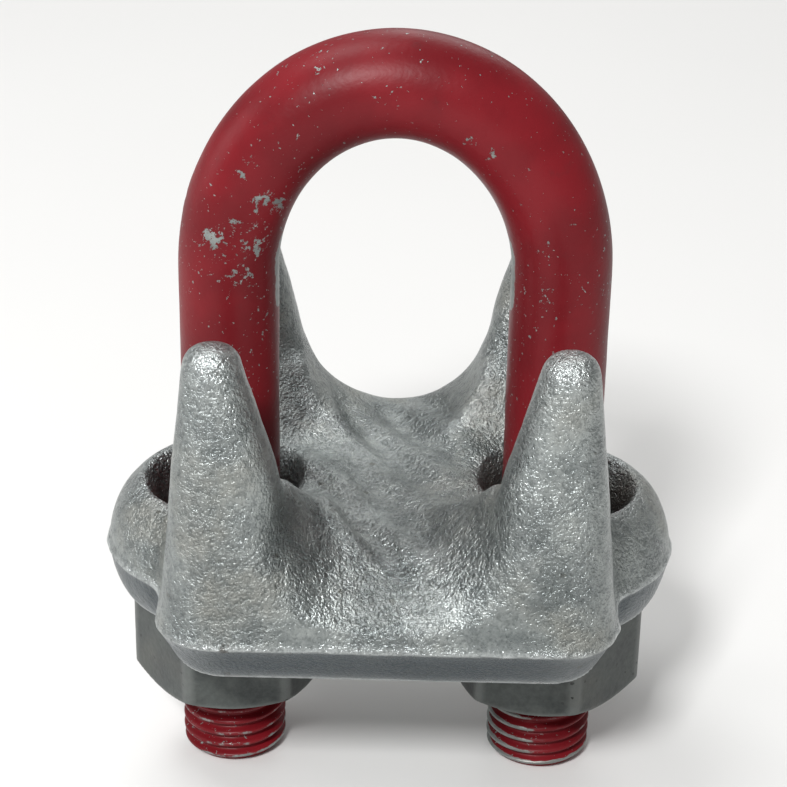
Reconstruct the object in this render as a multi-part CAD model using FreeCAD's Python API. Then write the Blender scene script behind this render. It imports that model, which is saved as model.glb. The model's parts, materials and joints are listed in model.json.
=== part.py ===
import FreeCAD, Part
import math
import os

from FreeCAD import Vector

# Wire rope clip for 38 mm (1-1/2 in) rope: a U-bolt, a forged saddle and two heavy hex nuts.
# Z runs up the legs of the U-bolt, X across the two legs and Y along the rope.
# The origin is on the floor under the middle of the clip, where the two stud ends stand.
# The screw threads are drawn as plain cylinders: the studs at their outside diameter, and the
# bores of the nuts one thread gap wider.

# Rope
rope_dia = 38.1

# U-bolt
leg_spacing = 65.8
shank_dia = 20.2
thread_major_dia = 22.0
thread_length = 60.5
thread_runout = 2.6
stud_end_dia = 18.4
bow_rise = 38.3
bow_start = 111.4

# Nuts: heavy hex, tapped oversize for the zinc coat
nut_across_flats = 36.5
nut_height = 21.8
nut_corner_chamfer = 2.0
nut_face_inset = 0.6
nut_bore_chamfer = 1.4
stud_beyond_nut = 18.6
thread_gap = 0.3
left_nut_angle = 36.4
right_nut_angle = 17.6

# Saddle: base plate, widest at the parting line of the forging
base_half_width = 45.3
base_half_length = 45.2
foot_half_length = 39.5
foot_half_width = 42.0
parting_height = 10.2
plate_height = 25.5
plate_top_inset = 2.6
base_corner_radius = 11.0

# Saddle: rope seat, with a lip at each end that rolls over and down
seat_thickness = 23.6
seat_clearance = 0.95
seat_wall_spread = 8.0
lip_length = 7.2
lip_drop = 11.0
lip_flare = 4.0

# Saddle: bosses round the legs, with a flared mouth on top
leg_clearance = 2.2
boss_outer_radius = 25.4
boss_foot_radius = 22.6
boss_height = 25.0
boss_belly_height = 12.5
boss_shoulder_inset = 4.0
boss_shoulder_drop = 3.0
boss_top_inset = 7.4
mouth_radius = 16.4
mouth_depth = 12.0
mouth_bulge = 1.2
mouth_offset = 1.4
mouth_relief = 1.5

# Saddle: shoulders that thicken each end under the horns
shoulder_start = 14.0
shoulder_rise = 13.0
shoulder_half_width = 30.0
shoulder_draft = 0.4

# Saddle: horns, by their width along X and length along Y at the root, the waist and the tip
horn_height = 71.5
horn_waist_height = 38.6
horn_root_width = 27.4
horn_root_length = 26.4
horn_root_corner = 10.0
horn_root_inset = 0.6
horn_waist_width = 22.1
horn_waist_length = 16.8
horn_waist_corner = 7.0
horn_waist_lean = 3.4
horn_tip_width = 10.2
horn_tip_length = 10.0
horn_tip_corner = 4.8
horn_tip_rounding = 4.2
horn_tip_outset = 0.2
horn_tip_inset = 5.8

# Values that follow from the sizes above
half_spacing = leg_spacing / 2
nut_bottom = stud_beyond_nut
saddle_bottom = nut_bottom + nut_height
seat_radius = rope_dia / 2 + seat_clearance
lip_radius = seat_radius + lip_flare
seat_bottom = saddle_bottom + seat_thickness
leg_hole_radius = thread_major_dia / 2 + leg_clearance
beyond = 5.0


def save(name, shape):
    shape.exportStep("parts/" + name + ".step")
    print(name, "valid", shape.isValid(), "solids", len(shape.Solids), "volume", round(shape.Volume, 1))


def lofted(wires, ruled):
    # A solid through the wires, turned right side out.
    shape = Part.makeLoft(wires, True, ruled)
    if shape.Volume < 0:
        shape.reverse()
    return shape


def rounded_rectangle(centre_x, centre_y, half_x, half_y, radius, height):
    # Four sides and four quarter-circle corners, as one closed wire at the given height.
    edges = []
    quarter = math.sqrt(0.5) * radius
    corners = [(1, -1), (1, 1), (-1, 1), (-1, -1)]
    turns = [(0, -1, 1, 0), (1, 0, 0, 1), (0, 1, -1, 0), (-1, 0, 0, -1)]
    previous = None
    first = None
    for (sign_x, sign_y), (from_x, from_y, to_x, to_y) in zip(corners, turns):
        mid_x = centre_x + sign_x * (half_x - radius)
        mid_y = centre_y + sign_y * (half_y - radius)
        start = Vector(mid_x + from_x * radius, mid_y + from_y * radius, height)
        middle = Vector(mid_x + sign_x * quarter, mid_y + sign_y * quarter, height)
        end = Vector(mid_x + to_x * radius, mid_y + to_y * radius, height)
        if previous is not None:
            edges.append(Part.makeLine(previous, start))
        edges.append(Part.Arc(start, middle, end).toShape())
        previous = end
        if first is None:
            first = start
    edges.append(Part.makeLine(previous, first))
    return Part.Wire(edges)


def revolved(points, axis_x, axis_y):
    # A closed outline of (radius, height) points turned once round an upright axis.
    outline = [Vector(axis_x + radius, axis_y, height) for radius, height in points]
    face = Part.Face(Part.makePolygon(outline + [outline[0]]))
    return face.revolve(Vector(axis_x, axis_y, 0), Vector(0, 0, 1), 360)


def threaded_stud(axis_x):
    outside = thread_major_dia / 2
    end_radius = stud_end_dia / 2
    return revolved([
        (0, 0),
        (end_radius, 0),
        (outside, outside - end_radius),
        (outside, thread_length - thread_runout),
        (shank_dia / 2, thread_length),
        (0, thread_length),
    ], axis_x, 0)


def u_bolt():
    radius = shank_dia / 2
    left_foot = Vector(-half_spacing, 0, thread_length)
    left_top = Vector(-half_spacing, 0, bow_start)
    right_top = Vector(half_spacing, 0, bow_start)
    right_foot = Vector(half_spacing, 0, thread_length)
    crown = Vector(0, 0, bow_start + bow_rise)
    centre = Vector(0, 0, bow_start)
    if bow_rise > half_spacing:
        ellipse = Part.Ellipse(crown, right_top, centre)
        bow = Part.ArcOfEllipse(ellipse, -math.pi / 2, math.pi / 2).toShape()
    else:
        ellipse = Part.Ellipse(right_top, crown, centre)
        bow = Part.ArcOfEllipse(ellipse, 0, math.pi).toShape()
    path = Part.Wire(Part.__sortEdges__([
        Part.makeLine(left_foot, left_top),
        bow,
        Part.makeLine(right_top, right_foot),
    ]))
    section = Part.Wire(Part.makeCircle(radius, path.OrderedVertexes[0].Point, Vector(0, 0, 1)))
    shank = path.makePipeShell([section], True, False)
    return shank.fuse([threaded_stud(-half_spacing), threaded_stud(half_spacing)])


def hex_nut(axis_x, angle):
    # A hexagon with its corners turned down at both faces, bored and countersunk at both ends.
    apothem = nut_across_flats / 2
    corner = apothem / math.cos(math.pi / 6)
    points = []
    for step in range(7):
        turn = math.radians(angle + 60 * step)
        points.append(Vector(axis_x + corner * math.sin(turn), -corner * math.cos(turn), nut_bottom))
    body = Part.Face(Part.makePolygon(points)).extrude(Vector(0, 0, nut_height))
    top = nut_bottom + nut_height
    rim = apothem - nut_face_inset
    body = body.common(revolved([
        (0, nut_bottom),
        (rim, nut_bottom),
        (corner, nut_bottom + nut_corner_chamfer),
        (corner, top - nut_corner_chamfer),
        (rim, top),
        (0, top),
    ], axis_x, 0))
    bore = thread_major_dia / 2 + thread_gap
    mouth = bore + nut_bore_chamfer
    return body.cut(revolved([
        (0, nut_bottom - beyond),
        (mouth, nut_bottom - beyond),
        (mouth, nut_bottom),
        (bore, nut_bottom + nut_bore_chamfer),
        (bore, top - nut_bore_chamfer),
        (mouth, top),
        (mouth, top + beyond),
        (0, top + beyond),
    ], axis_x, 0))


def seat_section(y, bottom, radius):
    # The rope channel at one place along the rope: a half round below and spreading walls above.
    top = saddle_bottom + horn_height + beyond
    axis = bottom + radius
    wall_top = radius + seat_wall_spread
    left = Vector(-radius, y, axis)
    low = Vector(0, y, bottom)
    right = Vector(radius, y, axis)
    return Part.Wire([
        Part.Arc(left, low, right).toShape(),
        Part.makeLine(right, Vector(wall_top, y, top)),
        Part.makeLine(Vector(wall_top, y, top), Vector(-wall_top, y, top)),
        Part.makeLine(Vector(-wall_top, y, top), left),
    ])


def rope_channel():
    # The straight seat, a lip at each end that rolls over and down, and what lies beyond each lip.
    straight = base_half_length - lip_length
    lip_steps = 4
    # The seat has three stretches along the rope: the leg holes break into its walls in the middle one.
    stretches = [-straight, -leg_hole_radius, leg_hole_radius, straight]
    cutters = []
    for start, end in zip(stretches, stretches[1:]):
        cutters.append(lofted([
            seat_section(start, seat_bottom, seat_radius),
            seat_section(end, seat_bottom, seat_radius),
        ], True))
    for side in (-1, 1):
        sections = []
        for step in range(lip_steps + 1):
            swing = math.pi / 2 * step / lip_steps
            y = straight + lip_length * math.sin(swing)
            drop = 1 - math.cos(swing)
            bottom = seat_bottom - lip_drop * drop
            radius = seat_radius + (lip_radius - seat_radius) * drop
            sections.append(seat_section(side * y, bottom, radius))
        cutters.append(lofted(sections, True))
        cutters.append(lofted([
            seat_section(side * base_half_length, seat_bottom - lip_drop, lip_radius),
            seat_section(side * (base_half_length + beyond), seat_bottom - lip_drop, lip_radius),
        ], True))
    return cutters


def shoulder(side):
    # The thick end of the saddle, between and under the two horns of one side.
    low = saddle_bottom + parting_height
    plate_top = saddle_bottom + plate_height
    outline = [
        (shoulder_start, low),
        (shoulder_start, plate_top),
        (shoulder_start + shoulder_rise, plate_top + shoulder_rise),
        (base_half_length - shoulder_draft, plate_top + shoulder_rise),
        (base_half_length, low),
    ]
    points = [Vector(-shoulder_half_width, side * y, z) for y, z in outline]
    face = Part.Face(Part.makePolygon(points + [points[0]]))
    return face.extrude(Vector(2 * shoulder_half_width, 0, 0))


def between(start, end, share):
    # A section part of the way from one section to another.
    return {name: start[name] + (end[name] - start[name]) * share for name in start}


def horn(side_x, side_y):
    # Rounded sections, each held by its outer faces: the root on the plate, the waist and the tip.
    tip_x = half_spacing + horn_tip_outset
    root = {
        "height": parting_height,
        "width": horn_root_width,
        "length": horn_root_length,
        "outer_x": base_half_width - horn_root_inset,
        "outer_y": base_half_length - horn_root_inset,
        "corner": horn_root_corner,
    }
    waist = {
        "height": horn_waist_height,
        "width": horn_waist_width,
        "length": horn_waist_length,
        "outer_x": base_half_width - horn_waist_lean,
        "outer_y": base_half_length,
        "corner": horn_waist_corner,
    }
    tip = {
        "height": horn_height,
        "width": horn_tip_width,
        "length": horn_tip_length,
        "outer_x": tip_x + horn_tip_width / 2,
        "outer_y": base_half_length - horn_tip_inset + horn_tip_length / 2,
        "corner": horn_tip_corner,
    }
    wires = []
    for part in (root, between(root, waist, 0.5), waist, between(waist, tip, 0.5), tip):
        half_x = part["width"] / 2
        half_y = part["length"] / 2
        centre_x = side_x * (part["outer_x"] - half_x)
        centre_y = side_y * (part["outer_y"] - half_y)
        height = saddle_bottom + part["height"]
        wires.append(rounded_rectangle(centre_x, centre_y, half_x, half_y, part["corner"], height))
    shape = lofted(wires, False)
    top = saddle_bottom + horn_height
    rim = [edge for edge in shape.Edges if edge.BoundBox.ZMin > top - 0.01]
    return shape.makeFillet(horn_tip_rounding, rim)


def saddle_plate():
    parting = saddle_bottom + parting_height
    foot = rounded_rectangle(0, 0, foot_half_width, foot_half_length, base_corner_radius, saddle_bottom)
    widest = rounded_rectangle(0, 0, base_half_width, base_half_length, base_corner_radius, parting)
    top_half_width = base_half_width - plate_top_inset
    top_half_length = base_half_length - plate_top_inset
    plate_top = saddle_bottom + plate_height
    top = rounded_rectangle(0, 0, top_half_width, top_half_length, base_corner_radius, plate_top)
    lower = lofted([foot, widest], True)
    upper = lofted([widest, top], True)
    return lower.fuse(upper)


def boss(axis_x):
    # A belly that curves from the foot to the shoulder, and a bevel up to the top.
    low = saddle_bottom
    foot = Vector(axis_x + boss_foot_radius, 0, low)
    belly = Vector(axis_x + boss_outer_radius, 0, low + boss_belly_height)
    shoulder_radius = boss_outer_radius - boss_shoulder_inset
    rim = Vector(axis_x + shoulder_radius, 0, low + boss_height - boss_shoulder_drop)
    edge = Vector(axis_x + boss_outer_radius - boss_top_inset, 0, low + boss_height)
    centre_top = Vector(axis_x, 0, low + boss_height)
    centre_low = Vector(axis_x, 0, low)
    outline = Part.Wire([
        Part.makeLine(centre_low, foot),
        Part.Arc(foot, belly, rim).toShape(),
        Part.makeLine(rim, edge),
        Part.makeLine(edge, centre_top),
        Part.makeLine(centre_top, centre_low),
    ])
    return Part.Face(outline).revolve(centre_low, Vector(0, 0, 1), 360)


def leg_hole(side):
    # The bore for one leg. It flares into a mouth set outward, which clears all that stands above.
    axis_x = side * half_spacing
    top = saddle_bottom + boss_height
    bore = Part.makeCylinder(
        leg_hole_radius, boss_height + 2 * beyond, Vector(axis_x, 0, saddle_bottom - beyond))
    mouth = revolved([
        (0, top - mouth_depth),
        (leg_hole_radius, top - mouth_depth),
        (leg_hole_radius + mouth_bulge, top - mouth_depth / 2),
        (mouth_radius, top),
        (mouth_radius + mouth_relief, top + mouth_relief),
        (mouth_radius + mouth_relief, top + horn_height),
        (0, top + horn_height),
    ], axis_x + side * mouth_offset, 0)
    return bore.fuse(mouth)


def saddle():
    shape = saddle_plate()
    for side in (-1, 1):
        shape = shape.fuse(boss(side * half_spacing))
    for side_x in (-1, 1):
        for side_y in (-1, 1):
            shape = shape.fuse(horn(side_x, side_y))
    for side_y in (-1, 1):
        shape = shape.fuse(shoulder(side_y))
    for cutter in rope_channel():
        shape = shape.cut(cutter)
    for side in (-1, 1):
        shape = shape.cut(leg_hole(side))
    return shape


os.makedirs("parts", exist_ok=True)
save("saddle", saddle())
save("u_bolt", u_bolt())
save("nut_left", hex_nut(-half_spacing, left_nut_angle))
save("nut_right", hex_nut(half_spacing, right_nut_angle))
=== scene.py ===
import json
import math

import bpy
import numpy as np
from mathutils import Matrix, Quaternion, Vector


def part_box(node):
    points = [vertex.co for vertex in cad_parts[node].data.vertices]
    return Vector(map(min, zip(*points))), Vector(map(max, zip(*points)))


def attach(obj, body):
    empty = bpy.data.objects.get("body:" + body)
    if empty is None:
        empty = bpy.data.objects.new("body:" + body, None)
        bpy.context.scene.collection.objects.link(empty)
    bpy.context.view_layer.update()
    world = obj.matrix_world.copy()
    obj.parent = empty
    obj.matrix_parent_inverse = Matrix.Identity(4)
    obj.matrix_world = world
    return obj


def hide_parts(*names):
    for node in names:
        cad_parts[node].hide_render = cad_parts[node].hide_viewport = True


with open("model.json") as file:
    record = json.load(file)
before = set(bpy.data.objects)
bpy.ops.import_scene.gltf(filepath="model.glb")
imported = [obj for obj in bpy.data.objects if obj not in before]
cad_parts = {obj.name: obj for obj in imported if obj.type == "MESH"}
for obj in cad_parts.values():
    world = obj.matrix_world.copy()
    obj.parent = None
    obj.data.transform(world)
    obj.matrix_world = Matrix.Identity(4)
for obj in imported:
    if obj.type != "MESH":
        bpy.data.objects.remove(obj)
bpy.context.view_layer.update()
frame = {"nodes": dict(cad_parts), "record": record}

print("frame loaded:", ", ".join(sorted(frame["nodes"])))

mm = 0.001
turn = 2 * math.pi
latticeSize = 32  # random numbers along each side of the lattice that lumps() repeats
scene = bpy.context.scene

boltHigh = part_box("u_bolt")[1]
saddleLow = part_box("saddle")[0]
nutLow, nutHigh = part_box("nut_right")
legX = (nutLow.x + nutHigh.x) / 2  # both legs stand this far from the middle
couplings = frame["record"]["behaviour"]["couplings"]
threadPitch = turn / [c["ratio"] for c in couplings if c["joint"] == "nut_left_turn"][0]


def newPiece(name, points, faceSets, attributes):
    # points in metres; faceSets are index arrays of quads or triangles
    # attributes hold one number for each point
    mesh = bpy.data.meshes.new(name)
    mesh.vertices.add(len(points))
    mesh.vertices.foreach_set("co", np.asarray(points, dtype=np.float32).ravel())
    corners = np.concatenate([np.full(len(faces), faces.shape[1]) for faces in faceSets])
    loops = np.concatenate([faces.ravel() for faces in faceSets])
    mesh.loops.add(len(loops))
    mesh.loops.foreach_set("vertex_index", loops.astype(np.int32))
    mesh.polygons.add(len(corners))
    mesh.polygons.foreach_set("loop_start", (np.cumsum(corners) - corners).astype(np.int32))
    mesh.update(calc_edges=True)
    mesh.validate()
    mesh.polygons.foreach_set("use_smooth", np.ones(len(mesh.polygons), dtype=bool))
    for label, values in attributes.items():
        layer = mesh.attributes.new(label, "FLOAT", "POINT")
        layer.data.foreach_set("value", values.astype(np.float32).ravel())
    piece = bpy.data.objects.new(name, mesh)
    scene.collection.objects.link(piece)
    return piece


def lumps(points, size, seed):
    # uneven heights from -1 to 1: a random number at each corner of a cubic lattice,
    # eased across every cell
    table = np.random.default_rng(seed).uniform(-1, 1, (latticeSize, latticeSize, latticeSize))
    place = np.asarray(points) / size + 1000.37
    cell = np.floor(place).astype(int)
    part = place - cell
    part = part * part * (3 - 2 * part)
    total = 0
    for x in (0, 1):
        for y in (0, 1):
            for z in (0, 1):
                weight = 1
                for axis, step in enumerate((x, y, z)):
                    weight = weight * (part[..., axis] if step else 1 - part[..., axis])
                corner = (cell + [x, y, z]) % latticeSize
                total = total + weight * table[corner[..., 0], corner[..., 1], corner[..., 2]]
    return total


def eased(values, start, end):
    # 0 before start, 1 after end, and an S curve between them
    part = np.clip((values - start) / (end - start), 0, 1)
    return part * part * (3 - 2 * part)


def screwHeight(share, crest, fall, root):
    # height of a rounded screw thread, 1 on the crest and 0 in the root, for a share of one pitch
    share = share % 1
    falling = 1 - eased(share, crest, fall)
    rising = eased(share, root, 1.0)
    return np.maximum(np.where(share < fall, falling, 0), np.where(share > root, rising, 0))


def gridFaces(rows, columns):
    # quads over rows of points whose columns run once round and close on themselves
    row, column = np.meshgrid(np.arange(rows - 1), np.arange(columns), indexing="ij")
    after = (column + 1) % columns
    here, above = row * columns, (row + 1) * columns
    return np.stack([here + column, here + after, above + after, above + column], -1).reshape(-1, 4)


uBolt = {
    "legRadius": 9.95 * mm,
    "crownRadius": 10.45 * mm,
    "shankRadius": 10.1 * mm,
    "bowStart": 111.4 * mm,
    "threadLength": 60.5 * mm,
    "runout": 2.6 * mm,
    "threadCrest": 11.0 * mm,
    "threadRoot": 9.5 * mm,
    "endRadius": 9.2 * mm,
    "columns": 96,
    "ringsPerPitch": 14,
    "shankRings": 26,
    "bowRings": 120,
    "forgingUneven": 0.13 * mm,
    # place across, height, reach and rise of the burr
    "burr": (-43.2 * mm, 130.5 * mm, 4.5 * mm, 0.8 * mm),
    # bare patches on the bend: place across, height and reach in mm, then how bare
    "chipSpots": [
        (-35.0, 120.5, 3.6, 1.0), (-25.5, 128.8, 2.6, 1.0), (-22.5, 127.6, 2.4, 0.95),
        (-26.8, 119.0, 2.6, 1.0), (-31.0, 124.0, 2.2, 0.9), (-29.4, 134.0, 2.0, 0.75),
        (-27.4, 137.3, 1.8, 0.6), (-32.0, 113.0, 2.2, 0.75), (-28.8, 113.2, 2.4, 0.85),
        (-15.5, 155.3, 2.2, 0.8), (-33.0, 117.0, 5.0, 0.55), (-29.0, 121.0, 7.0, 0.45),
        (14.0, 142.0, 1.9, 0.75), (18.0, 139.0, 1.9, 0.7), (26.5, 127.5, 5.0, 0.42),
        (27.0, 120.0, 5.0, 0.38), (28.0, 110.0, 6.0, 0.36), (22.0, 136.5, 5.0, 0.4),
        (34.0, 125.5, 2.2, 0.6),
    ],
}


def makeUBolt():
    # Rings of points carried up the left leg, over an elliptical bow and down the right leg.
    # On the studs the ring radius follows a right-hand screw; the bow is thickest at its crown.
    studRings = int(uBolt["threadLength"] / threadPitch * uBolt["ringsPerPitch"])
    stud = np.linspace(0, uBolt["threadLength"], studRings)
    shank = np.linspace(uBolt["threadLength"], uBolt["bowStart"], uBolt["shankRings"])[1:]
    leg = np.concatenate([stud, shank])
    sweep = np.linspace(0, math.pi, uBolt["bowRings"])[1:-1]
    rise = boltHigh.z - uBolt["shankRadius"] - uBolt["bowStart"]
    across = np.concatenate([0 * leg - legX, -legX * np.cos(sweep), 0 * leg + legX])
    height = np.concatenate([leg, uBolt["bowStart"] + rise * np.sin(sweep), leg[::-1]])
    alongX = np.concatenate([0 * leg, legX * np.sin(sweep), 0 * leg])
    alongZ = np.concatenate([0 * leg + 1, rise * np.cos(sweep), 0 * leg - 1])
    length = np.hypot(alongX, alongZ)
    alongX, alongZ = alongX / length, alongZ / length

    angle = np.arange(uBolt["columns"]) * turn / uBolt["columns"]
    outX = np.outer(alongZ, np.cos(angle))
    outZ = np.outer(-alongX, np.cos(angle))
    outY = np.outer(np.ones(len(across)), np.sin(angle))

    crown = np.clip((height - uBolt["bowStart"]) / rise, 0, 1)[:, None]
    thicker = uBolt["crownRadius"] - uBolt["legRadius"]
    radius = uBolt["legRadius"] + thicker * eased(crown, 0, 1) + 0 * outX
    worldAngle = np.arctan2(outY, outX)  # angle round the leg, seen from above
    share = worldAngle / turn - height[:, None] / threadPitch
    thread = screwHeight(share, 0.13, 0.5, 0.64)
    screw = uBolt["threadRoot"] + (uBolt["threadCrest"] - uBolt["threadRoot"]) * thread
    chamfer = uBolt["endRadius"] + height[:, None]
    screw = np.minimum(screw, chamfer)
    onStud = 1 - eased(height[:, None], uBolt["threadLength"] - uBolt["runout"], uBolt["threadLength"])
    isStud = (onStud > 0) * 1.0
    radius = np.where(isStud > 0, radius + (screw - radius) * onStud, radius)

    rings = np.stack([across[:, None] + radius * outX, radius * outY, height[:, None] + radius * outZ], -1)
    uneven = 0.6 * lumps(rings, 15 * mm, 3) + 0.25 * lumps(rings, 5 * mm, 4)
    burrX, burrZ, reach, lift = uBolt["burr"]
    fromBurr = np.hypot(rings[..., 0] - burrX, (rings[..., 2] - burrZ) * 0.5) / reach
    burr = lift * np.exp(-fromBurr ** 2 * 3) * (0.7 + 0.6 * lumps(rings, 1.6 * mm, 5))
    burr = burr * np.exp(-(rings[..., 1] / (2.2 * mm)) ** 2)
    swell = (uneven * uBolt["forgingUneven"] * (1 - isStud) + burr)[..., None]
    rings = rings + swell * np.stack([outX, outY, outZ], -1)

    front = np.clip(-outY * 1.6, 0, 1)
    bare = np.zeros_like(outX)
    for spotX, spotZ, spotReach, amount in uBolt["chipSpots"]:
        distance = np.hypot(rings[..., 0] - spotX * mm, rings[..., 2] - spotZ * mm) / (spotReach * mm)
        bare = np.maximum(bare, amount * np.exp(-distance ** 2) * front)
    inner = np.clip(-outX * np.sign(across)[:, None], 0, 1) ** 14  # where the rope rubs inside the bend
    rubbed = inner * eased(height, 101 * mm, 106 * mm)[:, None]
    rubbed = rubbed * (1 - eased(height, 119 * mm, 126 * mm))[:, None]
    crest = thread * isStud
    lowEnd = (1 - eased(height, 1.0 * mm, 4.5 * mm))[:, None] * isStud
    rightStud = eased(across, 0, legX)[:, None] * isStud
    scuffed = 0.35 * np.clip(-outX, 0, 1) * rightStud + 0.3 * lowEnd * (0.4 + 0.6 * rightStud)

    count, columns = outX.shape
    points = rings.reshape(-1, 3)
    ends = np.array([[-legX, 0, 0], [legX, 0, 0]])
    column = np.arange(columns)
    after = (column + 1) % columns
    firstCap = np.stack([np.full(columns, count * columns), after, column], -1)
    lastRow = (count - 1) * columns
    lastCap = np.stack([np.full(columns, count * columns + 1), lastRow + column, lastRow + after], -1)
    wear = {"bare": bare, "rubbed": rubbed, "crest": crest, "scuffed": scuffed}
    wear["onThread"] = isStud + 0 * outX
    wear = {label: np.append(values.ravel(), [0, 0]) for label, values in wear.items()}
    faceSets = [gridFaces(count, columns), firstCap, lastCap]
    return newPiece("uBolt", np.vstack([points, ends]), faceSets, wear)


nuts = {
    "acrossFlats": 36.5 * mm,
    "cornerRound": 0.5 * mm,
    "faceInset": 0.6 * mm,
    "chamferHeight": 2.0 * mm,
    "grooveCrest": 11.3 * mm,
    "grooveRoot": 9.85 * mm,
    "mouthChamfer": 1.4 * mm,
    "columns": 216,
    "ringsPerPitch": 12,
    "uneven": 0.05 * mm,
    "angles": {"nut_left": 36.4, "nut_right": 17.6},
}


def softLeast(a, b, width):
    # the smaller of two lengths, with a round of the given width where they meet
    part = np.clip(0.5 + 0.5 * (b - a) / width, 0, 1)
    return b + (a - b) * part - width * part * (1 - part) * 0.5


def makeNut(name, node):
    # A loop of rings: out along the lower face, up the six flats, in along the upper face
    # and down the threaded bore. The flats are turned down by a cone at both faces.
    low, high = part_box(node)
    axisX = math.copysign(legX, low.x + high.x)
    apothem = nuts["acrossFlats"] / 2
    corner = apothem / math.cos(math.pi / 6)
    tall = high.z - low.z
    columns = nuts["columns"]
    angle = np.arange(columns) * turn / columns
    # one corner points this way, seen from above
    cornerAngle = math.radians(nuts["angles"][node]) - turn / 4
    fromFlat = (angle - cornerAngle) % (turn / 6) - turn / 12
    hexagon = softLeast(apothem / np.cos(fromFlat), corner - 0.2 * mm, nuts["cornerRound"])

    edge = nuts["chamferHeight"] * np.linspace(0, 1.15, 11)
    sideZ = np.concatenate([edge, np.linspace(edge[-1], tall - edge[-1], 14)[1:-1], tall - edge[::-1]])
    rim = apothem - nuts["faceInset"]
    slope = (corner - rim) / nuts["chamferHeight"]
    cone = rim + slope * np.minimum(sideZ, tall - sideZ)
    side = softLeast(hexagon[None, :], cone[:, None], 0.35 * mm)

    boreZ = np.linspace(tall, 0, int(tall / threadPitch * nuts["ringsPerPitch"]))
    share = angle[None, :] / turn - (boreZ[:, None] + low.z) / threadPitch
    groove = screwHeight(share, 0.24, 0.58, 0.66)
    bore = nuts["grooveRoot"] + (nuts["grooveCrest"] - nuts["grooveRoot"]) * groove
    mouth = nuts["grooveCrest"] + nuts["mouthChamfer"] - np.minimum(boreZ, tall - boreZ)[:, None]
    bore = np.maximum(bore, mouth)
    faceShares = np.array([0.08, 0.3, 0.6, 0.85, 0.97])[:, None]
    lowerFace = bore[-1][None, :] + (side[0][None, :] - bore[-1][None, :]) * faceShares
    upperFace = side[-1][None, :] + (bore[0][None, :] - side[-1][None, :]) * (1 - faceShares[::-1])

    radius = np.vstack([lowerFace, side, upperFace, bore])
    ringZ = np.concatenate([0 * faceShares[:, 0], sideZ, 0 * faceShares[:, 0] + tall, boreZ])
    radius = np.vstack([radius, radius[:1]])
    ringZ = np.append(ringZ, ringZ[0])
    out = np.stack([np.cos(angle), np.sin(angle)], -1)
    rings = np.empty(radius.shape + (3,))
    rings[..., 0] = axisX + radius * out[:, 0]
    rings[..., 1] = radius * out[:, 1]
    rings[..., 2] = low.z + ringZ[:, None]
    isSide = np.zeros(len(ringZ))
    firstSide = len(faceShares)
    lastSide = firstSide + len(sideZ)
    isSide[firstSide + 4:lastSide - 4] = 1  # the rings at both edges stay true
    swell = nuts["uneven"] * (lumps(rings, 6 * mm, 11) + 0.5 * lumps(rings, 2.2 * mm, 12))
    swell = swell * isSide[:, None]
    rings[..., 0] += swell * out[:, 0]
    rings[..., 1] += swell * out[:, 1]
    rings = rings[:-1]
    rows = len(rings)
    faces = gridFaces(rows + 1, columns) % (rows * columns)  # the last row joins the first
    edgeWear = np.clip(1 - np.abs(side - hexagon[None, :]) / (0.5 * mm), 0, 1)
    edgeWear = edgeWear * np.clip(1 - np.abs(cone[:, None] - hexagon[None, :]) / (1.5 * mm), 0, 1)
    cornerWear = eased(hexagon, corner - 1.1 * mm, corner - 0.35 * mm)[None, :] + 0 * side
    worn = np.zeros((rows, columns))
    worn[firstSide:lastSide] = np.maximum(edgeWear * 0.8, cornerWear * 0.8)
    inBore = np.zeros((rows, columns))
    inBore[-len(boreZ):] = 1
    return newPiece(name, rings.reshape(-1, 3), [faces], {"worn": worn, "inBore": inBore})


saddle = {
    "voxel": 0.85 * mm,
    "filletRounds": 130,  # how long the hollows are filled
    "edgeRounds": 9,  # how long the sharp edges are eased
    "shoulderRounds": 24,  # how long the broad rounded shoulders between seat and end faces are eased
    "lumpHeights": [(16 * mm, 0.22 * mm), (6 * mm, 0.12 * mm), (2.6 * mm, 0.05 * mm)],
    "partingHeight": 10.4 * mm,
    "partingRise": 0.75 * mm,
    "partingWidth": 0.8 * mm,
    "layRise": 1.1 * mm,  # ridges pressed into the seat by the lay of the die
    "laySpacing": 11.0 * mm,
    "layShift": 1.0 * mm,
    # each pair is where an effect starts and where it is full, above the foot or from the middle
    "shoulderLow": (13 * mm, 17 * mm),
    "shoulderHigh": (38 * mm, 60 * mm),
    "shoulderAlong": (18 * mm, 26 * mm),
    "shoulderAcross": (31 * mm, 38 * mm),
    "flareLow": (11 * mm, 23 * mm),
    "flareHigh": (23 * mm, 46 * mm),
    "flareReach": 38 * mm,
    "flareFade": 14 * mm,
    "mouthFlare": 5.5 * mm,  # how far the seat opens out at its front end
    "flareFrom": 29.0 * mm,
    "flareTo": 42.0 * mm,
    "seatRadius": 20.0 * mm,
    "seatFloor": 23.6 * mm,
    # brown spots: place in mm, reach in mm, amount
    "rustSpots": [(-31.0, -44.5, 50.6, 1.3, 1.0), (37.0, -33.0, 107.0, 4.0, 0.5),
        (-12.0, -44.5, 50.0, 0.9, 0.5), (38.5, -36.0, 92.0, 2.4, 0.35)],
}


def neighbourMean(values, edges, degree):
    # mean of the joined points, for each point
    mean = np.empty_like(values)
    for axis in range(3):
        total = np.bincount(edges[:, 0], values[edges[:, 1], axis], len(values))
        total += np.bincount(edges[:, 1], values[edges[:, 0], axis], len(values))
        mean[:, axis] = total / degree
    return mean


def pointNormals(points, quads):
    # the crossed diagonals of the quads round each point, added up and made one long
    cross = np.cross(points[quads[:, 2]] - points[quads[:, 0]], points[quads[:, 3]] - points[quads[:, 1]])
    normals = np.zeros_like(points)
    for axis in range(3):
        for place in range(4):
            normals[:, axis] += np.bincount(quads[:, place], cross[:, axis], len(points))
    return normals / np.maximum(np.linalg.norm(normals, axis=1), 1e-12)[:, None]


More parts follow.
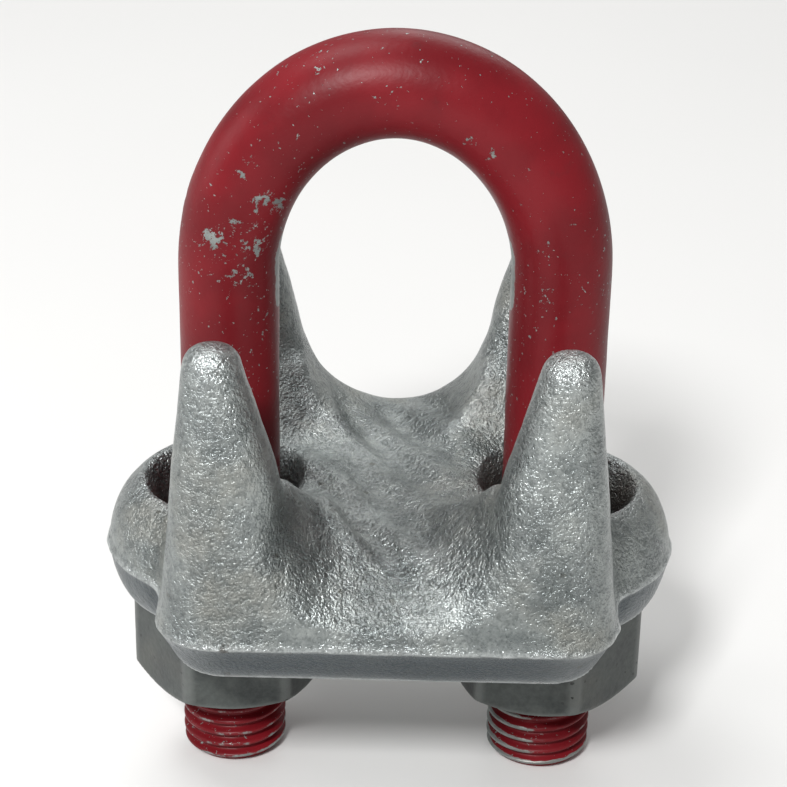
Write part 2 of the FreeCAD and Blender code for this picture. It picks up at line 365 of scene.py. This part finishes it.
def makeSaddle():
    # The plain solid is divided into even small quads. Hollows are then filled and edges eased,
    # as a forging die leaves them: each point moves towards the mean of its neighbours,
    # fast where the surface is hollow and slowly elsewhere.
    source = frame["nodes"]["saddle"]
    blank = bpy.data.objects.new("saddleBlank", source.data.copy())
    scene.collection.objects.link(blank)
    weld = blank.modifiers.new("weld", "WELD")
    weld.merge_threshold = 0.002 * mm
    remesh = blank.modifiers.new("remesh", "REMESH")
    remesh.mode = "VOXEL"
    remesh.voxel_size = saddle["voxel"]
    even = bpy.data.meshes.new_from_object(blank.evaluated_get(bpy.context.evaluated_depsgraph_get()))
    bpy.data.objects.remove(blank)
    points = np.empty(len(even.vertices) * 3)
    even.vertices.foreach_get("co", points)
    points = points.reshape(-1, 3)
    edges = np.empty(len(even.edges) * 2, dtype=np.int64)
    even.edges.foreach_get("vertices", edges)
    edges = edges.reshape(-1, 2)
    loops = np.empty(len(even.loops), dtype=np.int64)
    even.loops.foreach_get("vertex_index", loops)
    quads = loops.reshape(-1, 4)
    degree = np.bincount(edges.ravel(), minlength=len(points)).astype(float)
    foot = saddleLow.z
    fixed = points[:, 2] < foot + 0.5 * saddle["voxel"]  # the foot stays flat for the nuts

    # the front mouth of the seat opens outwards from the rope's axis, most at the end
    # and not at all at the parting ridge
    axisZ = foot + saddle["seatFloor"] + saddle["seatRadius"]
    fromAxis = points * [1, 0, 1] - [0, 0, axisZ]
    distance = np.linalg.norm(fromAxis, axis=1)
    flare = saddle["mouthFlare"] * eased(-points[:, 1], saddle["flareFrom"], saddle["flareTo"])
    low, high = saddle["flareLow"], saddle["flareHigh"]
    near = np.clip((saddle["flareReach"] - distance) / saddle["flareFade"], 0, 1)
    flare *= near * eased(points[:, 2], foot + low[0], foot + low[1])
    flare *= 1 - eased(points[:, 2], foot + high[0], foot + high[1])
    points = points + fromAxis * (flare / np.maximum(distance, mm))[:, None]

    low, high = saddle["shoulderLow"], saddle["shoulderHigh"]
    shoulder = eased(points[:, 2], foot + low[0], foot + low[1])
    shoulder *= 1 - eased(points[:, 2], foot + high[0], foot + high[1])
    along, across = saddle["shoulderAlong"], saddle["shoulderAcross"]
    shoulder *= eased(np.abs(points[:, 1]), *along)
    shoulder *= 1 - eased(np.abs(points[:, 0]), *across)
    for step in range(saddle["filletRounds"]):
        normals = pointNormals(points, quads) if step % 10 == 0 else normals
        pull = neighbourMean(points, edges, degree) - points
        hollow = (pull * normals).sum(1) > 0
        broad = shoulder * 0.45 * (step < saddle["shoulderRounds"])
        rate = np.where(hollow, 0.55, np.maximum(broad, 0.45 if step < saddle["edgeRounds"] else 0.012))
        pull[fixed, 2] = 0
        points = points + pull * rate[:, None]

    normals = pointNormals(points, quads)
    pull = neighbourMean(points, edges, degree) - points
    bend = (pull * normals).sum(1)
    for step in range(6):
        bend = neighbourMean(np.stack([bend] * 3, -1), edges, degree)[:, 0]
    # the eased bend marks where the colour gets painted highlights on convex edges and painted shade in
    # hollows
    edge = np.clip(-bend / (0.035 * mm), 0, 1)
    hollow = np.clip(bend / (0.03 * mm), 0, 1)

    x, y, z = points.T
    upright = 1 - np.abs(normals[:, 2])
    outside = eased(np.maximum(np.abs(x) / (36 * mm), np.abs(y) / (36 * mm)), 0.96, 1.02)
    fromParting = (z - foot - saddle["partingHeight"]) / saddle["partingWidth"]
    parting = np.exp(-fromParting ** 2) * outside * eased(upright, 0.35, 0.7)
    ragged = 0.75 + 0.45 * lumps(points, 3 * mm, 21)
    seatBottom = foot + saddle["seatFloor"]
    alongSeat = np.arctan2(x, axisZ - z) * saddle["seatRadius"]
    inSeat = eased(normals[:, 2], 0.45, 0.8)
    inSeat = inSeat * (1 - eased(np.abs(alongSeat), 13 * mm, 20 * mm))
    inSeat = inSeat * (1 - eased(np.abs(y), 26 * mm, 37 * mm))
    inSeat = inSeat * (1 - eased(z, seatBottom + 6 * mm, seatBottom + 12 * mm))
    lay = alongSeat * 0.93 + y * 0.55 + 1.6 * mm * lumps(points, 14 * mm, 22) + saddle["layShift"]
    lay = lay / saddle["laySpacing"]
    ridge = np.clip(np.cos(turn * lay) * 0.8 + 0.15, -0.4, 1) * (0.75 + 0.5 * lumps(points, 11 * mm, 23))
    lift = saddle["partingRise"] * parting * ragged + saddle["layRise"] * ridge * inSeat
    for seed, (size, tall) in enumerate(saddle["lumpHeights"]):
        lift = lift + tall * lumps(points, size, 31 + seed)
    lift = np.where(fixed, 0, lift)
    points = points + normals * lift[:, None]
    points[:, 2] = np.maximum(points[:, 2], foot)
    bandTop = foot + saddle["partingHeight"]
    # the band under the parting ridge, which the material darkens as painted shade
    footBand = (1 - eased(z, bandTop - 1.2 * mm, bandTop)) * outside
    rust = np.zeros(len(points))
    for spotX, spotY, spotZ, reach, amount in saddle["rustSpots"]:
        away = np.linalg.norm(points - np.array([spotX, spotY, spotZ]) * mm, axis=1) / (reach * mm)
        rust = np.maximum(rust, amount * np.exp(-away ** 2))
    marks = {"edge": edge, "hollow": hollow, "footBand": footBand, "rust": rust}
    # the parting ridge mask, which the material lightens as a painted highlight
    marks["ridge"] = parting * ragged
    return newPiece("saddleForging", points, [quads], marks)


bolt = makeUBolt()
print("u-bolt made:", len(bolt.data.polygons), "faces")
leftNut = makeNut("leftHexNut", "nut_left")
rightNut = makeNut("rightHexNut", "nut_right")
print("nuts made:", len(leftNut.data.polygons), "faces each")
forging = makeSaddle()
print("saddle made:", len(forging.data.polygons), "faces")


def newGroup(name, inputs, outputs):
    # an empty shader group with named sockets; inputs give a starting value
    group = bpy.data.node_groups.new(name, "ShaderNodeTree")
    for label, value in inputs.items():
        kind = "NodeSocketColor" if isinstance(value, tuple) else "NodeSocketFloat"
        socket = group.interface.new_socket(label, in_out="INPUT", socket_type=kind)
        socket.default_value = value
    for label, kind in outputs.items():
        group.interface.new_socket(label, in_out="OUTPUT", socket_type="NodeSocket" + kind)
    return group, group.nodes.new("NodeGroupInput"), group.nodes.new("NodeGroupOutput")


def feed(tree, node, inputs):
    # each input takes a number, a colour or the socket of another node
    for label, value in inputs.items():
        if isinstance(value, bpy.types.NodeSocket):
            tree.links.new(value, node.inputs[label])
        else:
            node.inputs[label].default_value = value
    return node


def addNode(tree, kind, inputs, settings):
    # settings come first, because some of them decide which inputs the node has
    node = tree.nodes.new(kind)
    for label, value in settings.items():
        setattr(node, label, value)
    return feed(tree, node, inputs)


def mathNode(tree, operation, a, b, clamp=False):
    # one sum, product or comparison of two numbers or sockets
    return addNode(tree, "ShaderNodeMath", {0: a, 1: b},
        {"operation": operation, "use_clamp": clamp}).outputs[0]


def ramp(tree, value, low, high):
    # 0 at low and 1 at high, with a smooth step between; low may be the larger
    node = addNode(tree, "ShaderNodeMapRange", {"Value": value, "From Min": low, "From Max": high},
        {"interpolation_type": "SMOOTHSTEP"})
    return node.outputs["Result"]


def blendColours(tree, share, a, b):
    # sockets 6 and 7 of a mix node are its two colours, and output 2 is the blend
    return addNode(tree, "ShaderNodeMix", {0: share, 6: a, 7: b}, {"data_type": "RGBA"}).outputs[2]


def objectPlace(tree):
    return tree.nodes.new("ShaderNodeTexCoord").outputs["Object"]


def noise(tree, place, scale, detail, rough=0.5):
    return addNode(tree, "ShaderNodeTexNoise",
        {"Vector": place, "Scale": scale, "Detail": detail, "Roughness": rough}, {}).outputs["Fac"]


def zincSkinGroup():
    # wrinkled skin of hot-dip zinc: small crowded bumps with softer ones under them
    group, given, result = newGroup("zincSkin", {"Grains per metre": 1300.0, "Softer bumps": 0.5},
        {"Height": "Float"})
    place = objectPlace(group)
    grains = given.outputs["Grains per metre"]
    fine = noise(group, place, grains, 2.0, 0.6)
    coarse = noise(group, place, mathNode(group, "MULTIPLY", grains, 0.36), 1.5)
    coarse = mathNode(group, "MULTIPLY", coarse, given.outputs["Softer bumps"])
    group.links.new(mathNode(group, "ADD", fine, coarse), result.inputs["Height"])
    return group


def zincToneGroup():
    # cloudy grey of weathered zinc, with pale bloom, dark patches and thin brown stains
    start = {
        "Light": (0.4, 0.4, 0.4, 1.0),
        "Dark": (0.2, 0.2, 0.2, 1.0),
        "Stain": (0.2, 0.17, 0.12, 1.0),
        "Clouds per metre": 70.0,
        "Stain share": 0.3,
    }
    ends = {"Color": "Color", "Cloud": "Float", "Stained": "Float"}
    group, given, result = newGroup("zincTone", start, ends)
    place = objectPlace(group)
    cloud = ramp(group, noise(group, place, given.outputs["Clouds per metre"], 6.0, 0.62), 0.34, 0.66)
    speckle = ramp(group, noise(group, place, 900.0, 2.0, 0.7), 0.3, 0.7)
    speckle = mathNode(group, "MULTIPLY", speckle, 0.3)
    shade = mathNode(group, "ADD", mathNode(group, "MULTIPLY", cloud, 0.7), speckle)
    tone = blendColours(group, shade, given.outputs["Dark"], given.outputs["Light"])
    stained = ramp(group, noise(group, place, 42.0, 5.0, 0.6), 0.5, 0.72)
    stained = mathNode(group, "MULTIPLY", stained, given.outputs["Stain share"])
    group.links.new(blendColours(group, stained, tone, given.outputs["Stain"]), result.inputs["Color"])
    group.links.new(cloud, result.inputs["Cloud"])
    group.links.new(stained, result.inputs["Stained"])
    return group


def pitsGroup():
    # small pits scattered in clusters: a mask that is 1 in a pit
    start = {"Pits per metre": 300.0, "Pit size": 0.2, "Amount": 0.5}
    group, given, result = newGroup("smallPits", start, {"Mask": "Float"})
    place = objectPlace(group)
    scatter = {"Vector": place, "Scale": given.outputs["Pits per metre"], "Randomness": 1.0}
    cells = addNode(group, "ShaderNodeTexVoronoi", scatter, {})
    ragged = mathNode(group, "MULTIPLY", noise(group, place, 1800.0, 2.0), 0.2)
    distance = mathNode(group, "ADD", cells.outputs["Distance"], ragged)
    spot = mathNode(group, "LESS_THAN", distance, given.outputs["Pit size"])
    where = ramp(group, noise(group, place, 90.0, 3.0), 0.42, 0.62)
    chance = addNode(group, "ShaderNodeSeparateColor", {"Color": cells.outputs["Color"]}, {}).outputs[0]
    some = mathNode(group, "LESS_THAN", chance, given.outputs["Amount"])
    mask = mathNode(group, "MULTIPLY", mathNode(group, "MULTIPLY", spot, where), some)
    group.links.new(mask, result.inputs["Mask"])
    return group


def chipsGroup():
    # flaked paint: ragged patches that grow with the wear, and sparse specks everywhere
    start = {"Wear": 0.0, "Flakes per metre": 420.0, "Speck share": 0.5}
    group, given, result = newGroup("paintChips", start, {"Mask": "Float"})
    place = objectPlace(group)
    patch = noise(group, place, given.outputs["Flakes per metre"], 5.0, 0.72)
    level = mathNode(group, "ADD", patch, mathNode(group, "MULTIPLY", given.outputs["Wear"], 0.27))
    flaked = ramp(group, level, 0.715, 0.735)
    speckPlace = noise(group, place, 1100.0, 3.0, 0.62)
    speckWhere = noise(group, place, 60.0, 2.0)
    speck = mathNode(group, "ADD", speckPlace, mathNode(group, "MULTIPLY", speckWhere, 0.22))
    specks = mathNode(group, "MULTIPLY", ramp(group, speck, 0.785, 0.805), given.outputs["Speck share"])
    group.links.new(mathNode(group, "MAXIMUM", flaked, specks), result.inputs["Mask"])
    return group


zincSkin = zincSkinGroup()
zincTone = zincToneGroup()
smallPits = pitsGroup()
paintChips = chipsGroup()


def newMaterial(name):
    material = bpy.data.materials.new(name)
    material.use_nodes = True
    tree = material.node_tree
    return material, tree, tree.nodes["Principled BSDF"]


def groupWith(tree, group, inputs):
    # a shared shader group set up with these inputs
    return addNode(tree, "ShaderNodeGroup", inputs, {"node_tree": group})


def reading(tree, label):
    # a number that the mesh holds at each point
    return addNode(tree, "ShaderNodeAttribute", {}, {"attribute_name": label}).outputs["Fac"]


def bump(tree, height, distance, strength=1.0, under=None):
    inputs = {"Height": height, "Distance": distance, "Strength": strength}
    if under is not None:
        inputs["Normal"] = under
    return addNode(tree, "ShaderNodeBump", inputs, {}).outputs["Normal"]


forgedZinc = {
    "light": (0.37, 0.395, 0.385, 1.0),
    "dark": (0.17, 0.19, 0.19, 1.0),
    "stain": (0.22, 0.205, 0.165, 1.0),
    # footShadeTone is painted shade for the band under the parting ridge; paintedHighlightTone is a
    # painted highlight colour
    "footShadeTone": (0.06, 0.074, 0.085, 1.0),
    "paintedHighlightTone": (0.62, 0.65, 0.65, 1.0),
    "rustTone": (0.045, 0.034, 0.022, 1.0),
    "grainTone": (0.1, 0.115, 0.115, 1.0),
    "pitTone": (0.07, 0.065, 0.05, 1.0),
    "grainsPerMetre": 1700.0,
    "skinHeight": 0.74 * mm,
    "metallic": 0.95,
}


def forgedZincMaterial():
    # pale wrinkled zinc on the forging, with painted shade in hollows and on the band under the parting
    # ridge, and painted highlights on convex edges, along the parting ridge and on the lowest edge
    material, tree, shader = newMaterial("galvanisedForging")
    tone = groupWith(tree, zincTone, {
        "Light": forgedZinc["light"],
        "Dark": forgedZinc["dark"],
        "Stain": forgedZinc["stain"],
        "Clouds per metre": 85.0,
        "Stain share": 0.5,
    })
    hollow = reading(tree, "hollow")
    edge = reading(tree, "edge")
    foot = reading(tree, "footBand")
    # painted shade: the hollows are darkened towards the dark zinc tone
    colour = blendColours(tree, mathNode(tree, "MULTIPLY", hollow, 0.3), tone.outputs["Color"],
        forgedZinc["dark"])
    # painted shade: the band under the parting ridge is darkened nearly to black
    colour = blendColours(tree, mathNode(tree, "MULTIPLY", foot, 0.88), colour, forgedZinc["footShadeTone"])
    # painted highlight: convex edges and the parting ridge are lightened
    paintedHighlightMask = mathNode(tree, "MAXIMUM", mathNode(tree, "MULTIPLY", edge, 0.3),
        mathNode(tree, "MULTIPLY", reading(tree, "ridge"), 0.95), True)
    colour = blendColours(tree, paintedHighlightMask, colour, forgedZinc["paintedHighlightTone"])
    place = objectPlace(tree)
    height = addNode(tree, "ShaderNodeSeparateXYZ", {"Vector": place}, {}).outputs["Z"]
    # painted highlight: a thin light line along the lowest edge of the shaded foot band
    lowEdgeHighlight = ramp(tree, height, saddleLow.z + 1.3 * mm, saddleLow.z + 0.4 * mm)
    lowEdgeHighlight = mathNode(tree, "MULTIPLY", mathNode(tree, "MULTIPLY", lowEdgeHighlight, foot), 0.55)
    colour = blendColours(tree, lowEdgeHighlight, colour, forgedZinc["paintedHighlightTone"])
    ragged = mathNode(tree, "MULTIPLY", noise(tree, place, 700.0, 3.0, 0.6), 0.9)
    rusted = ramp(tree, mathNode(tree, "ADD", reading(tree, "rust"), ragged), 0.72, 1.0)
    colour = blendColours(tree, mathNode(tree, "MULTIPLY", rusted, 0.85), colour, forgedZinc["rustTone"])
    pits = groupWith(tree, smallPits, {"Pits per metre": 190.0, "Pit size": 0.22, "Amount": 0.35})
    colour = blendColours(tree, mathNode(tree, "MULTIPLY", pits.outputs["Mask"], 0.6), colour,
        forgedZinc["pitTone"])
    shader.inputs["Metallic"].default_value = forgedZinc["metallic"]
    rough = mathNode(tree, "ADD", 0.265, mathNode(tree, "MULTIPLY", tone.outputs["Cloud"], 0.09))
    rough = mathNode(tree, "ADD", rough, mathNode(tree, "MULTIPLY", tone.outputs["Stained"], 0.25))
    tree.links.new(rough, shader.inputs["Roughness"])
    skin = groupWith(tree, zincSkin, {"Grains per metre": forgedZinc["grainsPerMetre"],
        "Softer bumps": 0.9})
    # the skin is rougher in some places than in others
    calm = ramp(tree, noise(tree, place, 38.0, 2.0), 0.3, 0.62)
    between = mathNode(tree, "MULTIPLY", ramp(tree, skin.outputs["Height"], 0.98, 0.72), 0.45)
    tree.links.new(blendColours(tree, between, colour, forgedZinc["grainTone"]),
        shader.inputs["Base Color"])
    skinHeight = mathNode(tree, "MULTIPLY", skin.outputs["Height"],
        mathNode(tree, "ADD", 0.45, mathNode(tree, "MULTIPLY", calm, 0.55)))
    first = bump(tree, skinHeight, forgedZinc["skinHeight"])
    unpitted = mathNode(tree, "SUBTRACT", 1.0, pits.outputs["Mask"])
    tree.links.new(bump(tree, unpitted, 0.15 * mm, 0.6, first), shader.inputs["Normal"])
    return material


nutZinc = {
    "light": (0.09, 0.1, 0.095, 1.0),
    "dark": (0.035, 0.04, 0.04, 1.0),
    "stain": (0.13, 0.125, 0.105, 1.0),
    "wornTone": (0.26, 0.275, 0.265, 1.0),
    "boreTone": (0.1, 0.1, 0.095, 1.0),
    "pitTone": (0.02, 0.022, 0.022, 1.0),
    "metallic": 0.45,
}


def nutZincMaterial():
    # smoother and duller zinc on the nuts, with small black pits and lighter corners
    material, tree, shader = newMaterial("galvanisedNut")
    tone = groupWith(tree, zincTone, {
        "Light": nutZinc["light"],
        "Dark": nutZinc["dark"],
        "Stain": nutZinc["stain"],
        "Clouds per metre": 120.0,
        "Stain share": 0.35,
    })
    pits = groupWith(tree, smallPits, {"Pits per metre": 420.0, "Pit size": 0.27, "Amount": 0.4})
    colour = blendColours(tree, mathNode(tree, "MULTIPLY", reading(tree, "worn"), 0.4),
        tone.outputs["Color"], nutZinc["wornTone"])
    colour = blendColours(tree, mathNode(tree, "MULTIPLY", reading(tree, "inBore"), 0.5), colour,
        nutZinc["boreTone"])
    colour = blendColours(tree, pits.outputs["Mask"], colour, nutZinc["pitTone"])
    tree.links.new(colour, shader.inputs["Base Color"])
    shader.inputs["Metallic"].default_value = nutZinc["metallic"]
    rough = mathNode(tree, "ADD", 0.4, mathNode(tree, "MULTIPLY", tone.outputs["Cloud"], 0.14))
    tree.links.new(rough, shader.inputs["Roughness"])
    skin = groupWith(tree, zincSkin, {"Grains per metre": 900.0, "Softer bumps": 0.6})
    first = bump(tree, skin.outputs["Height"], 0.07 * mm)
    unpitted = mathNode(tree, "SUBTRACT", 1.0, pits.outputs["Mask"])
    tree.links.new(bump(tree, unpitted, 0.12 * mm, 0.8, first), shader.inputs["Normal"])
    return material


redPaint = {
    "paint": (0.172, 0.0078, 0.0125, 1.0),
    "paintDeep": (0.125, 0.0055, 0.009, 1.0),
    "bareMetal": (0.33, 0.355, 0.345, 1.0),
    "bareDark": (0.2, 0.215, 0.21, 1.0),
    "bareStain": (0.16, 0.12, 0.1, 1.0),
    "grime": (0.035, 0.02, 0.02, 1.0),
    "orangePeel": 0.05 * mm,
}


def redPaintMaterial():
    # satin red paint over zinc: flaked on the bends, rubbed through inside them
    # and worn off the thread crests
    material, tree, shader = newMaterial("redPaintOverZinc")
    place = objectPlace(tree)
    chips = groupWith(tree, paintChips, {"Wear": reading(tree, "bare"), "Flakes per metre": 700.0,
        "Speck share": 1.0})
    ragged = mathNode(tree, "MULTIPLY", noise(tree, place, 500.0, 3.0), 0.5)
    rubbed = ramp(tree, mathNode(tree, "ADD", reading(tree, "rubbed"), ragged), 0.62, 0.72)
    wornCrest = mathNode(tree, "ADD", reading(tree, "crest"), reading(tree, "scuffed"))
    ragged = mathNode(tree, "MULTIPLY", noise(tree, place, 260.0, 4.0, 0.65), 0.6)
    wornCrest = mathNode(tree, "ADD", wornCrest, ragged)
    onThread = reading(tree, "onThread")
    wornCrest = mathNode(tree, "MULTIPLY", ramp(tree, wornCrest, 1.3, 1.4), onThread)
    flaked = mathNode(tree, "MAXIMUM", chips.outputs["Mask"], rubbed)
    bareMask = mathNode(tree, "MAXIMUM", flaked, wornCrest, True)
    tone = blendColours(tree, ramp(tree, noise(tree, place, 55.0, 4.0), 0.35, 0.65), redPaint["paint"],
        redPaint["paintDeep"])
    grime = mathNode(tree, "MULTIPLY", ramp(tree, noise(tree, place, 160.0, 5.0, 0.7), 0.6, 0.72), 0.45)
    grime = mathNode(tree, "MULTIPLY", grime, mathNode(tree, "ADD", 0.35, onThread))
    tone = blendColours(tree, grime, tone, redPaint["grime"])
    metalTone = groupWith(tree, zincTone, {
        "Light": redPaint["bareMetal"],
        "Dark": redPaint["bareDark"],
        "Stain": redPaint["bareStain"],
        "Clouds per metre": 200.0,
        "Stain share": 0.4,
    })
    tree.links.new(blendColours(tree, bareMask, tone, metalTone.outputs["Color"]),
        shader.inputs["Base Color"])
    tree.links.new(mathNode(tree, "MULTIPLY", bareMask, 0.75), shader.inputs["Metallic"])
    shader.inputs["Specular IOR Level"].default_value = 0.2
    smear = ramp(tree, noise(tree, place, 35.0, 5.0, 0.6), 0.3, 0.7)
    rough = mathNode(tree, "ADD", 0.34, mathNode(tree, "MULTIPLY", smear, 0.12))
    tree.links.new(mathNode(tree, "ADD", rough, mathNode(tree, "MULTIPLY", bareMask, 0.06)),
        shader.inputs["Roughness"])
    slowPeel = mathNode(tree, "MULTIPLY", noise(tree, place, 260.0, 3.0), 0.8)
    peel = mathNode(tree, "ADD", noise(tree, place, 900.0, 2.0), slowPeel)
    first = bump(tree, peel, redPaint["orangePeel"])
    tree.links.new(bump(tree, mathNode(tree, "SUBTRACT", 1.0, bareMask), 0.08 * mm, 0.8, first),
        shader.inputs["Normal"])
    return material


forging.data.materials.append(forgedZincMaterial())
nutMaterial = nutZincMaterial()
leftNut.data.materials.append(nutMaterial)
rightNut.data.materials.append(nutMaterial)
bolt.data.materials.append(redPaintMaterial())
print("materials made")

for piece, body, node, slot in (
    (forging, "saddle", "saddle", "galvanised_forging"),
    (bolt, "u_bolt", "u_bolt", "red_paint"),
    (leftNut, "nut_left", "nut_left", "galvanised_nut"),
    (rightNut, "nut_right", "nut_right", "galvanised_nut"),
):
    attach(piece, body)
    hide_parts(node)

studio = {
    "floorSize": 12.0,
    "floorTone": (0.72, 0.717, 0.708, 1.0),
    "worldTone": (0.9, 0.9, 0.89, 1.0),
    "worldStrength": 0.34,
    # each light: where it hangs in metres, its size, its power in watts
    "lights": {
        "ceiling": ((-0.5, 0.35, 1.45), 0.7, 9.0),
        "overCamera": ((-0.3, -0.98, 1.02), 0.22, 19.5),
        "leftFill": ((-1.3, 0.05, 0.5), 0.7, 3.5),
        "behind": ((0.25, 1.3, 0.95), 0.9, 5.5),
    },
    "aimHeight": 60 * mm,
}


def makeStudio():
    half = studio["floorSize"] / 2
    corners = np.array([[-half, -half, 0], [half, -half, 0], [half, half, 0], [-half, half, 0]])
    floor = newPiece("paleFloor", corners, [np.array([[0, 1, 2, 3]])], {})
    material, tree, shader = newMaterial("palePaper")
    place = objectPlace(tree)
    cloudy = ramp(tree, noise(tree, place, 3.0, 3.0), 0.3, 0.7)
    paler = tuple(min(1.0, part * 1.02) for part in studio["floorTone"][:3]) + (1.0,)
    tree.links.new(blendColours(tree, cloudy, studio["floorTone"], paler), shader.inputs["Base Color"])
    shader.inputs["Roughness"].default_value = 0.85
    floor.data.materials.append(material)
    world = bpy.data.worlds.new("paleRoom")
    world.use_nodes = True
    background = world.node_tree.nodes["Background"]
    background.inputs["Color"].default_value = studio["worldTone"]
    background.inputs["Strength"].default_value = studio["worldStrength"]
    scene.world = world
    aim = Vector((0, 0, studio["aimHeight"]))
    for name, (where, size, power) in studio["lights"].items():
        data = bpy.data.lights.new(name, "AREA")
        data.size = size
        data.energy = power
        lamp = bpy.data.objects.new(name, data)
        lamp.location = where
        lamp.rotation_euler = (aim - Vector(where)).to_track_quat("-Z", "Y").to_euler()
        scene.collection.objects.link(lamp)


view = {
    "stands": (2.21 * mm, -418.93 * mm, 289.19 * mm),
    "looksAt": (0.18 * mm, 0.0, 84.0 * mm),
    "tiltsBy": math.radians(1.17),
    "lens": 105.2,
}


def makeCamera():
    data = bpy.data.cameras.new("camera")
    data.lens = view["lens"]
    data.sensor_width = 36.0
    data.clip_start, data.clip_end = 0.01, 50.0
    camera = bpy.data.objects.new("camera", data)
    stands = Vector(view["stands"])
    facing = (Vector(view["looksAt"]) - stands).to_track_quat("-Z", "Y")
    camera.location = stands
    camera.rotation_mode = "QUATERNION"
    camera.rotation_quaternion = facing @ Quaternion((0, 0, 1), view["tiltsBy"])
    scene.collection.objects.link(camera)
    scene.camera = camera


makeStudio()
makeCamera()
scene.view_settings.view_transform = "Standard"
print("studio and camera made")
